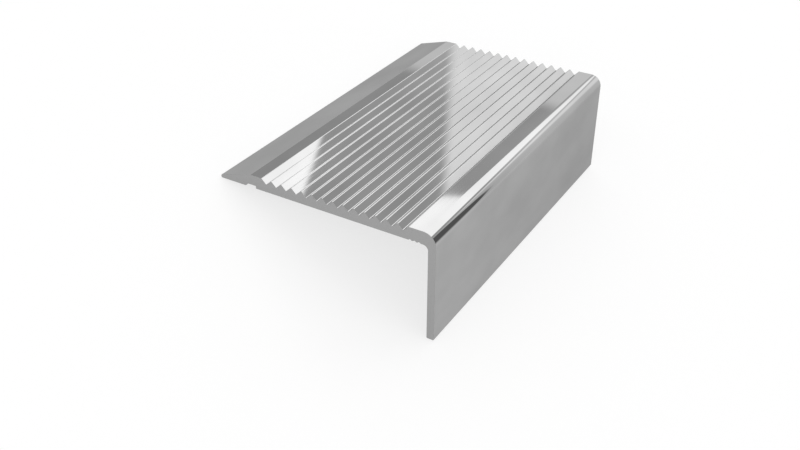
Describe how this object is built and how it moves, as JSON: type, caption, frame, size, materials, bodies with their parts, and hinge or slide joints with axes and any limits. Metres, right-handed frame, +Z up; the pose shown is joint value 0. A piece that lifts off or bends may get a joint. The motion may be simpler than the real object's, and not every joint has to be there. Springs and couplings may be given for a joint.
{
  "type": "stair nosing",
  "caption": "Aluminium angle profile for the edge of a step: grooved tread plate with a ramped back tip, rounded nose and a plain leg over the riser.",
  "frame": {"origin": "middle of the footprint, on the floor that the piece rests on", "axes": "+Y along the profile's length, +X towards the nose and leg, +Z up; the piece stands like a tent on the lower edge of its back tip and on the inner edge of its foot, so its tread face is tilted by 23.87 degrees about Y"},
  "size_m": [0.0676, 0.1, 0.0271],
  "materials": {
    "aluminium": "bright extruded, uncoated"
  },
  "bodies": {
    "root": {"nosing_profile": "aluminium"}
  },
  "joints": []
}
